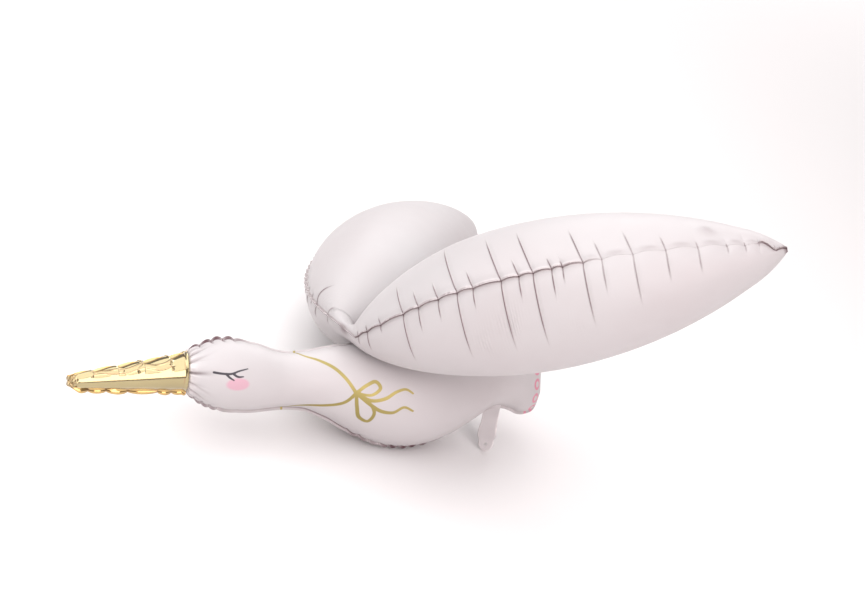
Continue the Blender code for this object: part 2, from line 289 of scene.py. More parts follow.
def wing_half(table, root_sag, root_fan):
    """Grid of the right wing from waist to tip, round its section, with its masks and film places.

    Each row's section is the leaf's, swollen a little by the tip. Scallops draw its seam in, the seam
    bows between creases, sags by the root and folds over at the tip, and its border droops. Relief
    stands along the normals: puffs beside a wide border, hollows beside a slim one, the grooves of
    the creases, and a dent. Creases lean with the sine of the angle, and fan out by the root.
    """
    places = table[:, 0]
    crowd = (places, CREASE_CROWD_WIDTH / WING_LENGTH, CREASE_CROWD_WEIGHT)
    station = crowded(WING_ROOT_SHARE, WING_TIP_SHARE, WING_ROWS, *crowd)[:, None]
    crowd = ([0.0, math.pi], SEAM_CROWD_WIDTH, SEAM_CROWD_WEIGHT)
    angle = crowded(0.0, math.pi, SHEET_COLUMNS + 1, *crowd)
    spread = with_borders(angle)
    crest = crest_between(with_ends(places), station)
    full = np.minimum(1.0, leaf_size(station) / FULL_SIZE_SHARE)
    sharp = np.maximum(1 - ease(*SOFT_SEAM_SHARES, station), ease(*SHARP_TIP_SHARES, station))
    border_width = SEAM_WIDTH * (SLIM_BORDER_SHARE + (1 - SLIM_BORDER_SHARE) * sharp)
    by_root = ease(WING_ROOT_SHARE, FAN_FULL_SHARE, station) * (1 - ease(*FAN_FADE_SHARES, station))
    fan = root_fan * ease(0.0, FAN_REACH, spread) * by_root
    sheet = ease(0.0, SEAM_FADE, off_seam(spread))
    border = (1 - ease(0.0, BORDER_FADE, off_seam(spread))) * sharp
    halves = []
    for upper, column, shadow_tint in ((True, 1, SEAM_SHADOW_TINTS[0]), (False, 2, SEAM_SHADOW_TINTS[1])):
        lean = CREASE_LEAN * np.sin(spread) * np.sin(math.pi * station) * upper
        share = np.clip(station - lean + fan, WING_ROOT_SHARE, WING_TIP_SHARE)
        size = leaf_size(share) * (1 + TIP_SWELL * bell(share - TIP_SWELL_SHARE, TIP_SWELL_REACH_SHARE))
        half_height = WING_CHORD / 2 * size
        half_width = WING_THICKNESS / 2 * size
        drawn_in = SCALLOP_DEPTH * full * (1 - crest)
        half_sizes = (half_height[:, SHEET_PART], half_width[:, SHEET_PART])
        across, out = sheet_and_border(*half_sizes, drawn_in, angle, border_width, border_width)
        from_seam = off_seam(spread) * half_width
        bow = SCALLOP_BOW * full * (crest - 0.5) * bell(from_seam, SCALLOP_BOW_REACH)
        sag = root_sag * (1 - ease(0.0, ROOT_SAG_SHARE, share)) * (1 + np.cos(spread)) / 2
        (rise, rise_reach), (dip, dip_reach) = TIP_FOLD_SHARES
        fold = bell(share - rise, rise_reach) - bell(share - dip, dip_reach)
        bow = bow - sag + TIP_FOLD_HEIGHT * fold * bell(from_seam, TIP_FOLD_REACH) * (spread < 1)
        reaches = np.radians(table[:, column])
        front, front_mask = crease_field(station, spread, places, reaches, WING_LENGTH)
        rear_reaches = REAR_REACH_SHARE * np.roll(reaches, REAR_ORDER_STEP)
        rear, rear_mask = crease_field(station, math.pi - spread, places, rear_reaches, WING_LENGTH)
        puff = PUFF_HEIGHT * crest * bell(from_seam, PUFF_REACH) * sheet
        hollow = crest**4 * (1 - sharp) * bell(from_seam - HOLLOW_PLACE, HOLLOW_REACH)
        hollow = hollow * (spread < math.pi / 2) * upper
        raised = full * (puff * sharp - HOLLOW_DEPTH * hollow - CREASE_DEPTH * (front + rear) * sheet)
        # Painted shade: the creases are darkened, less where the seam is soft, a painted shadow lies in
        # the groove
        # beside a sharp seam, the hollows are painted darker, and the very tip is painted dark.
        crease_shading = SOFT_CREASE_SHADE + (1 - SOFT_CREASE_SHADE) * sharp
        line = bell(from_seam - SEAM_SHADOW_WIDTH, SEAM_SHADOW_WIDTH) * sharp * shadow_tint
        mask = np.maximum(front_mask, rear_mask) * full * crease_shading
        for more in (line, HOLLOW_SHADE * hollow, ease(*NIB_SHARES, station)):
            mask = np.maximum(mask, more)
        side = 1 if upper else -1
        round_it = side * spread + 0 * station
        halves.append((share, across, side * out + bow, raised, mask, border, round_it))
    share, across, out, raised, mask, border, round_it = [ring(*pair) for pair in zip(*halves)]
    droop = BORDER_DROOP * np.sin(math.pi * np.clip(share / BORDER_DROOP_SHARE, 0, 1)) * border
    outer = np.maximum(0, np.abs(across) - WING_CHORD / 2 * leaf_size(share)) / SEAM_WIDTH
    centre, chord, crown = wing_line(share)
    points = centre + across[..., None] * chord + (out - droop * outer)[..., None] * crown
    dent = bell((share - DENT_SHARE) * WING_LENGTH, DENT_REACH)
    dent = dent * bell(round_it - DENT_ANGLE, DENT_REACH_ANGLE)
    points = points + outward(points) * (raised - DENT_DEPTH * dent)[..., None]
    # The dent is painted darker too, as shade.
    mask = np.maximum(mask, DENT_SHADE * dent)
    slack = np.zeros_like(share)
    for place, degrees, reach, reach_degrees in PLEAT_ZONES:
        zone = bell(share - place, reach) * bell(np.degrees(round_it) - degrees, reach_degrees)
        slack = np.maximum(slack, zone)
    return points, mask, border, slack, share * WING_LENGTH, round_it * WING_CHORD / 2


def band_faces(rows, columns, closed):
    """Quads from each ring of points to the next, and from the last to the first where it is closed."""
    first_rows = np.arange(rows if closed else rows - 1)
    first, second = np.meshgrid(first_rows, np.arange(columns), indexing="ij")
    beside, below = (second + 1) % columns, (first + 1) % rows
    corners = ((first, second), (first, beside), (below, beside), (below, second))
    return np.stack([row * columns + column for row, column in corners], axis=-1).reshape(-1, 4).tolist()


def film_object(name, points, faces, uv, masks):
    """Smooth mesh of the points, laid down on the floor, and linked to the scene.

    Each point carries its place on the film as a UV map in metres, and the masks as attributes.
    """
    mesh = bpy.data.meshes.new(name)
    mesh.from_pydata(lay_down(points.reshape(-1, 3)), [], faces)
    corner = np.empty(len(mesh.loops), dtype=np.int32)
    mesh.loops.foreach_get("vertex_index", corner)
    places = uv.reshape(-1, 2)[corner].astype(np.float32)
    mesh.uv_layers.new(name="film").data.foreach_set("uv", places.ravel())
    for mask_name, values in masks.items():
        layer = mesh.attributes.new(mask_name, "FLOAT", "POINT")
        layer.data.foreach_set("value", values.astype(np.float32).ravel())
    mesh.shade_smooth()
    made = bpy.data.objects.new(name, mesh)
    bpy.context.scene.collection.objects.link(made)
    return made


def skin_object(name, rings, uv, masks):
    """Piece of film over rings of equal point count, closed by a fan of triangles over each end."""
    rows, columns = rings.shape[:2]

    def with_hubs(values):
        """Values of all points, and the means of the first and the last ring for the fans' hubs."""
        every = values.reshape(rows * columns, *values.shape[2:])
        return np.concatenate([every, values[:1].mean(axis=1), values[-1:].mean(axis=1)])

    edge = np.arange(columns)
    next_edge = (edge + 1) % columns
    last = (rows - 1) * columns
    start_fan = np.stack([next_edge, edge, 0 * edge + rows * columns], axis=-1)
    end_fan = np.stack([last + edge, last + next_edge, 0 * edge + rows * columns + 1], axis=-1)
    faces = band_faces(rows, columns, False) + start_fan.tolist() + end_fan.tolist()
    masks = {mask_name: with_hubs(values) for mask_name, values in masks.items()}
    return film_object(name, with_hubs(rings), faces, with_hubs(uv), masks)


near = wing_half(NEAR_CREASES, NEAR_ROOT_SAG, 0.0)
far = wing_half(FAR_CREASES, FAR_ROOT_SAG, FAR_ROOT_FAN)
near_wing, near_shade, near_border, near_slack, near_u, near_v = near
far_wing, far_shade, far_border, far_slack, far_u, far_v = far
far_wing = far_wing * [1, -1, 1]

# The waist joins the two root sections, pinched about its middle, most of all from above. A painted
# shadow of a fold crosses it, whose place and reach are a share of the waist and an angle round it.
WAIST_FOLD_PLACE = (0.45, -0.15)
WAIST_FOLD_REACH = (0.14, 0.40)
WAIST_FOLD_SHADE = 0.8

waist_step = np.linspace(0.0, 1.0, WAIST_ROWS + 2)[1:-1, None]
waist_angle = near_v[0] / (WING_CHORD / 2)
waist = near_wing[0] + (far_wing[0] - near_wing[0]) * waist_step[..., None]
top_pinch = WAIST_TOP_PINCH * np.clip(np.sin(waist_angle), 0, 1)
pinch = 1 - (1 - WAIST_PINCH_SHARE + top_pinch) * np.sin(math.pi * waist_step)
middle = waist.mean(axis=1, keepdims=True)
waist = middle + (waist - middle) * pinch[..., None]
waist_u = near_u[0] * (1 - 2 * waist_step)
waist_fold = bell(waist_step - WAIST_FOLD_PLACE[0], WAIST_FOLD_REACH[0])
waist_fold = waist_fold * bell(waist_angle - WAIST_FOLD_PLACE[1], WAIST_FOLD_REACH[1])
waist_shade = np.maximum(near_shade[0], WAIST_FOLD_SHADE * waist_fold)


def wing_to_wing(near_rows, waist_rows, far_rows):
    """Rows from the near wing's tip over the waist, one row or all of them, to the far wing's tip."""
    return np.concatenate([near_rows[::-1], waist_rows + 0 * waist_u, far_rows])


wing_rings = np.concatenate([near_wing[::-1], waist, far_wing])
wing_uv = np.stack([
    wing_to_wing(near_u, waist_u, -far_u),
    wing_to_wing(near_v, near_v[0], far_v),
], axis=-1)
wing_masks = {
    "painted_shade": wing_to_wing(near_shade, waist_shade, far_shade),
    "border": wing_to_wing(near_border, near_border[0], far_border),
    "slack": wing_to_wing(near_slack, near_slack[0], far_slack),
}
wings = skin_object("wings_film", wing_rings, wing_uv, wing_masks)

SATIN_PINK = (0.560, 0.537, 0.543)
SHADED_PINK = (0.540, 0.506, 0.512)
# Dark pink painted as shade where the shade mask lies, in creases, grooves and hollows.
CREASE_SHADE_PINK = (0.13, 0.07, 0.08)
# Paler pink painted on the welded border as a highlight, beside its real gloss.
BORDER_HIGHLIGHT_PINK = (0.70, 0.65, 0.65)
NOISE_SPAN = (0.3, 0.7)
FILM_SPECULAR = 0.3
SWELL_HEIGHT = 0.0006
PLEAT_PITCH = 0.005
PLEAT_HEIGHT = 0.0011
PLEAT_WANDER = 16.0
GRAIN_HEIGHT = 0.00001
BORDER_CRUMPLE = 0.0010
SATIN_ROUGHNESS = (0.46, 0.56)
BORDER_GLOSS = 0.24
SHEET_METALLIC = 0.06
BORDER_METALLIC = 0.45


def feed(tree, to, inputs):
    """Gives each named input of a node its value, or a link where the value is another's output."""
    for socket, value in inputs.items():
        if isinstance(value, bpy.types.NodeSocket):
            tree.links.new(value, to.inputs[socket])
        else:
            to.inputs[socket].default_value = value
    return to


def node(tree, kind, inputs, **settings):
    """New node of a kind, whose settings are made before its inputs are fed."""
    made = tree.nodes.new("ShaderNode" + kind)
    for name, value in settings.items():
        setattr(made, name, value)
    return feed(tree, made, inputs)


def film_group():
    """Shader group of the satin film: tint, shine and height from its place on the film.

    Height adds a slow swell, fine pleats where the film is slack, which are sines along the film
    with a wandering phase, a crumple of the welded border, and a very fine grain. The border is
    smoother and more like metal than the sheets, so that it glints.
    """
    group = bpy.data.node_groups.new("satin film", "ShaderNodeTree")
    for socket, kind in (("Place", "Vector"), ("Slack", "Float"), ("Border", "Float")):
        group.interface.new_socket(socket, in_out="INPUT", socket_type="NodeSocket" + kind)
    for socket in ("Height", "Tint", "Roughness", "Metallic"):
        group.interface.new_socket(socket, in_out="OUTPUT", socket_type="NodeSocketFloat")
    given = group.nodes.new("NodeGroupInput")
    place, slack, border = (given.outputs[socket] for socket in ("Place", "Slack", "Border"))

    def noise(scale, detail, stretch=1.0):
        """Noise over the film, finer with a greater scale, and drawn out along V by a stretch below 1."""
        spot = node(group, "Mapping", {"Vector": place, "Scale": (1, stretch, 1)}).outputs["Vector"]
        inputs = {"Vector": spot, "Scale": scale, "Detail": detail}
        return node(group, "TexNoise", inputs).outputs["Fac"]

    def scaled(value, low, high, to_low, to_high):
        """The value carried evenly from one range to another, and held at its ends."""
        ends = {"From Min": low, "From Max": high, "To Min": to_low, "To Max": to_high}
        return node(group, "MapRange", {"Value": value, **ends}).outputs["Result"]

    def maths(operation, first, second):
        """One sum on two values, each a number or an output."""
        return node(group, "Math", {0: first, 1: second}, operation=operation).outputs[0]

    swell = scaled(noise(9.0, 2.0), 0.0, 1.0, 0.0, SWELL_HEIGHT)
    along = node(group, "SeparateXYZ", {"Vector": place}).outputs["X"]
    wander = scaled(noise(26.0, 1.0, 0.25), 0.0, 1.0, 0.0, PLEAT_WANDER)
    turns = maths("MULTIPLY", along, 2 * math.pi / PLEAT_PITCH)
    wave = maths("SINE", maths("ADD", turns, wander), 0.0)
    patches = scaled(noise(22.0, 1.0, 0.5), 0.4, 0.7, 0.0, 1.0)
    pleats = maths("MULTIPLY", scaled(wave, -1.0, 1.0, 0.0, PLEAT_HEIGHT), patches)
    pleats = maths("MULTIPLY", pleats, slack)
    grain = scaled(noise(900.0, 2.0), *NOISE_SPAN, 0.0, GRAIN_HEIGHT)
    crumple = scaled(noise(110.0, 1.0, 0.5), *NOISE_SPAN, 0.0, BORDER_CRUMPLE)
    crumple = maths("MULTIPLY", crumple, border)
    height = maths("ADD", swell, maths("ADD", pleats, crumple))
    satin = scaled(noise(30.0, 2.0), *NOISE_SPAN, *SATIN_ROUGHNESS)
    feed(group, group.nodes.new("NodeGroupOutput"), {
        "Height": maths("ADD", height, grain),
        "Tint": scaled(noise(5.0, 3.0), *NOISE_SPAN, 0.0, 1.0),
        "Roughness": maths("ADD", satin, maths("MULTIPLY", border, -BORDER_GLOSS)),
        "Metallic": scaled(border, 0.0, 1.0, SHEET_METALLIC, BORDER_METALLIC),
    })
    return group


FILM = film_group()


def kept_mask(tree, of_name):
    """Output of a mask that the points carry."""
    return node(tree, "Attribute", {}, attribute_name=of_name).outputs["Fac"]


def film_place(tree):
    """Output of each point's place on the film, in metres."""
    return node(tree, "UVMap", {}, uv_map="film").outputs["UV"]


def mixed(tree, mask, first, second):
    """Colour that goes from the first to the second, each a colour or an output, as the mask grows."""
    first, second = ((*one, 1.0) if isinstance(one, tuple) else one for one in (first, second))
    inputs = {"Factor": mask, "A": first, "B": second}
    return node(tree, "Mix", inputs, data_type="RGBA").outputs["Result"]


def bumped(tree, height, distance):
    """Output of the normal, turned by a height that is counted in the given distance."""
    inputs = {"Strength": 1.0, "Distance": distance, "Height": height}
    return node(tree, "Bump", inputs).outputs["Normal"]


def film_material(name):
    """Satin pink film: tinted by the group, painted paler on the welded border as a highlight, and
    painted darker in the creases and hollows as shade.
    """
    made = bpy.data.materials.new(name)
    made.use_nodes = True
    tree = made.node_tree
    border = kept_mask(tree, "border")
    inputs = {"Place": film_place(tree), "Slack": kept_mask(tree, "slack"), "Border": border}
    film = node(tree, "Group", inputs, node_tree=FILM)
    colour = mixed(tree, film.outputs["Tint"], SATIN_PINK, SHADED_PINK)
    colour = mixed(tree, border, colour, BORDER_HIGHLIGHT_PINK)
    feed(tree, tree.nodes["Principled BSDF"], {
        "Base Color": mixed(tree, kept_mask(tree, "painted_shade"), colour, CREASE_SHADE_PINK),
        "Metallic": film.outputs["Metallic"],
        "Roughness": film.outputs["Roughness"],
        "Specular IOR Level": FILM_SPECULAR,
        "Normal": bumped(tree, film.outputs["Height"], 1.0),
    })
    return made


wings.data.materials.append(film_material("satin pink film of the wings"))
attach(wings, "root")
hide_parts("wings")

# Body
# Neck, head, belly and tail are one envelope of the same film, welded along the back and the belly,
# and pressed flat at the end of the tail. The wings' waist is glued on top of it. The face, the
# ribbon with its bow, and the loops at the tail are printed on the film before it is welded.

BODY_LENGTH = 0.702
BODY_WIDTH_SHARE = 0.93
BODY_WAIST_SHARE = 0.4074
WAIST_PRESS = 0.002
WAIST_GAP = 0.0004
UNDER_WING_SHARE = 0.5
UNDER_WING_MOST = 0.05
# Outline of the body: places along it, and the heights there of the back seam and of the belly seam,
# counted from the back seam's height under the waist, all as shares of its length.
BODY_OUTLINE_SHARES = np.array([
    (0.000, -0.013, -0.104),
    (0.027, 0.001, -0.125),
    (0.055, 0.012, -0.139),
    (0.085, 0.016, -0.147),
    (0.160, 0.006, -0.153),
    (0.245, -0.017, -0.148),
    (0.305, -0.014, -0.153),
    (0.360, -0.005, -0.174),
    (0.440, 0.003, -0.217),
    (0.513, 0.006, -0.246),
    (0.607, 0.006, -0.255),
    (0.700, -0.003, -0.233),
    (0.785, -0.020, -0.192),
    (0.835, -0.033, -0.164),
    (0.885, -0.042, -0.161),
    (0.930, -0.037, -0.177),
    (0.962, -0.031, -0.176),
    (0.988, -0.039, -0.155),
    (1.000, -0.065, -0.123),
])
TAIL_FLAT_FROM_SHARE = 0.86
TAIL_FLAT_POWER = 0.7

# Ruffles of the seams: place along the body, pitch of the creases and depth of the ruffles there,
# the first two as shares of its length and the depth as a share of the deepest.
BACK_RUFFLES = np.array([(0.00, 0.0285, 1.0), (0.11, 0.0285, 1.0), (0.13, 0.05, 0.1), (0.36, 0.05, 0.1),
                         (0.50, 0.04, 0.5), (0.85, 0.04, 0.4), (0.93, 0.03, 0.5), (1.00, 0.03, 0.5)])
BELLY_RUFFLES = np.array([(0.00, 0.019, 0.7), (0.07, 0.019, 0.6), (0.10, 0.06, 0.1), (0.41, 0.06, 0.1),
                          (0.44, 0.030, 0.7), (0.47, 0.030, 1.0), (0.50, 0.030, 0.2), (0.54, 0.028, 1.0),
                          (0.64, 0.028, 1.0), (0.68, 0.05, 0.2), (0.90, 0.05, 0.2), (1.00, 0.03, 0.4)])
BODY_SCALLOP_DEPTH = 0.0052
BODY_WAVE = 0.0020
BODY_PUFF_HEIGHT = 0.0016
BODY_PUFF_REACH = 0.009
BODY_CREASE_REACH = math.radians(15)
BODY_CREASE_LEAST = 0.45
BODY_CREASE_STEP = 7.3
BODY_FULL_HALF_WIDTH = 0.02
BODY_BORDER_SHEEN_AND_GLOSS = 0.3
NAPE_BORDER_WIDTH = 0.0035
NAPE_SHARES = (0.10, 0.15)
# A painted shadow line at the inner edge of the belly seam's border, from the head to the breast:
# places along the body, its strength there, and its tint on the three columns of points at that edge.
STRIP_SHARES = (0.07, 0.10, 0.30, 0.46, 0.49)
STRIP_STRENGTHS = (0.0, 0.35, 0.8, 0.95, 0.0)
STRIP_SHADOW_TINTS = (0.35, 1.0, 0.8)
# Painted shade beside the belly seam where the tab leaves it; no fold is shaped there.
TAB_FOLD_SHARE = 0.842
TAB_FOLD_REACH_SHARE = 0.022
TAB_FOLD_PLACE = 0.011
TAB_FOLD_REACH = 0.006
TAB_FOLD_SHADE = 0.40
JOINT_BOW = 0.007
JOINT_BOW_REACH_SHARE = 0.02
JOINT_PUCKERS = np.radians([14, 38, 62, 92, 122, 146, 166])
JOINT_PUCKER_DEPTHS = np.array([0.8, 0.9, 0.5, 1.0, 0.6, 0.9, 0.7])
JOINT_PUCKER_DEPTH = 0.0042
JOINT_PUCKER_WIDTH = 0.055
JOINT_PUCKER_REACH_SHARE = 0.030
JOINT_PUCKER_DRIFT = 0.35
JOINT_PUCKER_SHADE = 0.55
JOINT_RIM_SHARE = 0.008
JOINT_CUSHION_HEIGHT = 0.0030
JOINT_SHEEN_AND_GLOSS = 0.8
JOINT_SHEEN_REACH_SHARE = 0.016
BODY_ROWS = 390
BODY_COLUMNS = 120
BODY_CROWD_WIDTH = 0.003
BODY_CROWD_WEIGHT = 0.6


def smooth_line(stations, values, at):
    """Cubic through the points (stations, values), whose slope at each comes from its neighbours."""
    slopes = np.gradient(values, stations)
    k = np.clip(np.searchsorted(stations, at, side="right") - 1, 0, len(stations) - 2)
    step = stations[k + 1] - stations[k]
    u = (at - stations[k]) / step
    left = values[k] * (1 + 2 * u) * (1 - u) ** 2 + slopes[k] * step * u * (1 - u) ** 2
    right = values[k + 1] * (3 - 2 * u) * u**2 - slopes[k + 1] * step * u**2 * (1 - u)
    return left + right


def body_place(share):
    """Places along the bird, and heights of the back seam and the belly seam, at shares of the body."""
    waist_underside = WING_THICKNESS / 2 * leaf_size(WING_ROOT_SHARE) * WAIST_PINCH_SHARE
    back = WAIST_PRESS - waist_underside - SEAM_WIDTH
    along = (share - BODY_WAIST_SHARE) * BODY_LENGTH
    table = BODY_OUTLINE_SHARES
    top = back + smooth_line(table[:, 0], table[:, 1], share) * BODY_LENGTH
    bottom = back + smooth_line(table[:, 0], table[:, 2], share) * BODY_LENGTH
    return along, top, bottom


def ruffles(table):
    """Places of the creases, one where each whole number of pitches has gone by, and their depths."""
    fine = np.linspace(0.0, 1.0, 4000)
    pitches = np.cumsum(1 / np.interp(fine, table[:, 0], table[:, 1])) * fine[1]
    places = np.interp(np.arange(1, int(pitches[-1])), pitches, fine)
    return places, np.interp(places, table[:, 0], table[:, 2])


def joint_bow(spread, from_joint):
    """How far the head's front bulges into the beak: a sine round it, dying away from the joint."""
    return JOINT_BOW * np.sin(spread) * np.exp(-from_joint / (JOINT_BOW_REACH_SHARE * BODY_LENGTH))


def under_wings(points):
    """Points of the back that would be inside a wing, moved straight down to just under its sheet.

    A wing's section is an ellipse, so its underside is the crown times the root of one less the
    square of the place across it.
    """
    mirrored = points * [1, 0, 1] - np.abs(points) * [0, 1, 0]
    along = wing_axes()[0]
    share = (mirrored + [0, WAIST_HALF_WIDTH, 0]) @ along / WING_LENGTH
    share = np.clip(share, WING_ROOT_SHARE, UNDER_WING_SHARE)
    centre, chord, crown = wing_line(share)
    centre[..., 1] = np.where(mirrored[..., 1] > -WAIST_HALF_WIDTH, mirrored[..., 1], centre[..., 1])
    off = mirrored - centre
    across = (off * chord).sum(axis=-1) / (WING_CHORD / 2 * leaf_size(share) + SEAM_WIDTH)
    out = (off * crown).sum(axis=-1)
    section = np.sqrt(np.clip(1 - across**2, 0, 1))
    underside = -WING_THICKNESS / 2 * leaf_size(share) * section - WAIST_GAP
    sink = np.clip(out - underside, 0, UNDER_WING_MOST) * (np.abs(across) < 1) / crown[..., 2]
    lowered = points.copy()
    lowered[..., 2] -= sink
    return lowered


def body_grid():
    """Grid of the body from the head's front to the tail's end, round its section, with its masks.

    The section is an ellipse as high as the outline, which thins to a flat end at the tail. Scallops
    draw both seams in, and they wave from side to side. Relief stands along the normals: puffs and
    grooves by the seams, and at the beak's joint the gathers, with cushions between them.
    """
    back_places, back_depths = ruffles(BACK_RUFFLES)
    belly_places, belly_depths = ruffles(BELLY_RUFFLES)
    every = np.concatenate([back_places, belly_places])
    share = crowded(0.0, 1.0, BODY_ROWS, every, BODY_CROWD_WIDTH, BODY_CROWD_WEIGHT)
    along, top, bottom = body_place(share)
    flat = np.clip((share - TAIL_FLAT_FROM_SHARE) / (1 - TAIL_FLAT_FROM_SHARE), 0, 1)
    width = BODY_WIDTH_SHARE * (1 - flat**2) ** TAIL_FLAT_POWER
    half_height = ((top - bottom) / 2)[:, None]
    half_width = np.maximum(half_height * width[:, None], FILM_HALF)
    middle = ((top + bottom) / 2)[:, None]
    station = share[:, None]
    angle = np.linspace(0.0, math.pi, BODY_COLUMNS + 1)
    spread = with_borders(angle)

    def seam(places, depths, from_seam):
        """Crest, strength, nearness, wave to the side, grooves and their mask along one seam."""
        ends = with_ends(places)
        strength = np.interp(station, places, depths)
        near = bell(from_seam * half_height, BODY_PUFF_REACH)
        wave = np.sin(math.pi * passed(ends, station))
        uneven = np.sin(BODY_CREASE_STEP * np.arange(len(places))) ** 2
        reach = BODY_CREASE_REACH * (BODY_CREASE_LEAST + (1 - BODY_CREASE_LEAST) * uneven)
        groove, mask = crease_field(station, from_seam, places, reach, BODY_LENGTH)
        return crest_between(ends, station), strength, near, wave, groove * strength, mask * strength

    belly = seam(belly_places, belly_depths, spread)
    back = seam(back_places, back_depths, math.pi - spread)
    nearer = (np.where(spread < math.pi / 2, low, high) for low, high in zip(belly[:4], back[:4]))
    crest, strength, near, wave = nearer
    drawn_in = BODY_SCALLOP_DEPTH * strength * (1 - crest)
    back_width = SEAM_WIDTH - (SEAM_WIDTH - NAPE_BORDER_WIDTH) * ease(*NAPE_SHARES, station)
    drawn_in = drawn_in[:, SHEET_PART]
    across, out = sheet_and_border(half_height, half_width, drawn_in, angle, SEAM_WIDTH, back_width)
    sheet = ease(0.0, SEAM_FADE, off_seam(spread))
    room = np.clip(half_width / BODY_FULL_HALF_WIDTH, 0, 1)
    puff = BODY_PUFF_HEIGHT * crest * strength * near * sheet * room
    groove = CREASE_DEPTH * (belly[4] + back[4]) * sheet * room
    fade = bell(station, JOINT_PUCKER_REACH_SHARE)
    drift = JOINT_PUCKER_DRIFT * np.sin(spread) * np.cos(spread) * station / JOINT_PUCKER_REACH_SHARE
    away = (spread + drift)[..., None] - JOINT_PUCKERS
    pucker = bell(away, JOINT_PUCKER_WIDTH) @ JOINT_PUCKER_DEPTHS * fade
    cushion = crest_between(with_ends(JOINT_PUCKERS, math.pi), spread)
    cushion = cushion * fade * ease(0.0, JOINT_RIM_SHARE, station)
    groove = groove + (JOINT_PUCKER_DEPTH * pucker - JOINT_CUSHION_HEIGHT * cushion) * sheet
    border = 1 - ease(0.0, BORDER_FADE, off_seam(spread)) + 0 * station
    # A painted shadow line along the inner edge of the belly seam's border.
    beside = np.zeros_like(spread)
    beside[BORDER_COLUMNS - 1 : BORDER_COLUMNS + 2] = STRIP_SHADOW_TINTS
    strip_shadow = beside * np.interp(station, STRIP_SHARES, STRIP_STRENGTHS)
    # Painted shade by the tab's root, beside the belly seam.
    tab_root_shade = bell(station - TAB_FOLD_SHARE, TAB_FOLD_REACH_SHARE)
    tab_root_shade = tab_root_shade * bell(spread * half_height - TAB_FOLD_PLACE, TAB_FOLD_REACH)
    # Painted shade: darker in the ruffles' creases, in the gathers at the beak's joint, on the border in
    # the
    # middle of each ruffle's lobe, along the strip and by the tab's root.
    mask = np.maximum(np.maximum(belly[5], back[5]), JOINT_PUCKER_SHADE * pucker)
    for more in (border * strength * crest, strip_shadow, TAB_FOLD_SHADE * tab_root_shade):
        mask = np.maximum(mask, more)
    flat_out = middle + half_height * (spread - math.pi / 2)
    x = along[:, None] - joint_bow(spread, station * BODY_LENGTH)
    wave = BODY_WAVE * strength * near * wave
    points = np.stack([ring(x), ring(wave + out, wave - out), ring(middle + across)], axis=-1)
    points = points + outward(points) * ring(puff - groove)[..., None]
    return points, ring(mask), ring(border), ring(flat_out)


body_rings, body_shade, body_border, body_v = body_grid()
body_u = body_rings[..., 0]
body_rings = under_wings(body_rings)

# The prints, in metres along the bird and round its side from the height of its middle line.
EYE_LID = ((-0.257, -0.064), (-0.242, -0.066), (-0.228, -0.066), (-0.217, -0.062), (-0.200, -0.058))
EYE_LASHES = (((-0.238, -0.066), (-0.232, -0.072), (-0.224, -0.077)),
              ((-0.226, -0.066), (-0.218, -0.071), (-0.208, -0.071)))
EYE_HALF_WIDTH = 0.0018
CHEEK_CENTRE = (-0.2165, -0.0838)
CHEEK_HALF_SIZE = (0.0195, 0.0105)
KNOT = (-0.004, -0.101)
RIBBON_BACK = (KNOT, (-0.020, -0.078), (-0.038, -0.059), (-0.062, -0.043), (-0.084, -0.030),
               (-0.096, -0.008))
RIBBON_BELLY = (KNOT, (-0.019, -0.118), (-0.050, -0.129), (-0.080, -0.134), (-0.104, -0.141),
                (-0.114, -0.157))
BOW_UPPER = (KNOT, (0.014, -0.087), (0.030, -0.081), (0.037, -0.091), (0.025, -0.103), KNOT)
BOW_LOWER = (KNOT, (0.001, -0.127), (0.010, -0.149), (0.024, -0.156), (0.031, -0.140),
             (0.017, -0.115), KNOT)
TAIL_UPPER = (KNOT, (0.024, -0.114), (0.046, -0.110), (0.066, -0.098), (0.084, -0.094), (0.096, -0.101))
TAIL_LOWER = (KNOT, (0.023, -0.122), (0.042, -0.133), (0.062, -0.135), (0.081, -0.125), (0.098, -0.132))
RIBBON_HALF_WIDTH = 0.0026
LOOPS_PLACE = 0.392
LOOPS_FROM = 0.352
LOOPS_PITCH = 0.028
LOOP_RADIUS = 0.0085
LOOP_HALF_WIDTH = 0.0026


def brush_line(points, samples):
    """Smooth stroke through the points, at equal steps of the length of their straight links."""
    points = np.array(points)
    length = np.concatenate([[0], np.cumsum(np.linalg.norm(np.diff(points, axis=0), axis=1))])
    at = np.linspace(0, length[-1], samples)
    return np.stack([smooth_line(length, points[:, i], at) for i in (0, 1)], axis=-1)


def stroke(line, half_widths, place):
    """Least distance from each place to the links of a line, less the brush's half width there.

    The half width goes evenly through the three values given, for the start, middle and end.
    """
    best = np.full(place.shape[:-1], 1.0)
    widths = np.interp(np.linspace(0, 1, len(line)), (0, 0.5, 1), half_widths)
    for a, b, wide, next_wide in zip(line, line[1:], widths, widths[1:]):
        link = b - a
        t = np.clip(((place - a) @ link) / (link @ link), 0, 1)
        off = np.linalg.norm(place - a - t[..., None] * link, axis=-1)
        best = np.minimum(best, off - wide - (next_wide - wide) * t)
    return best


body_uv = np.stack([body_u, body_v], axis=-1)
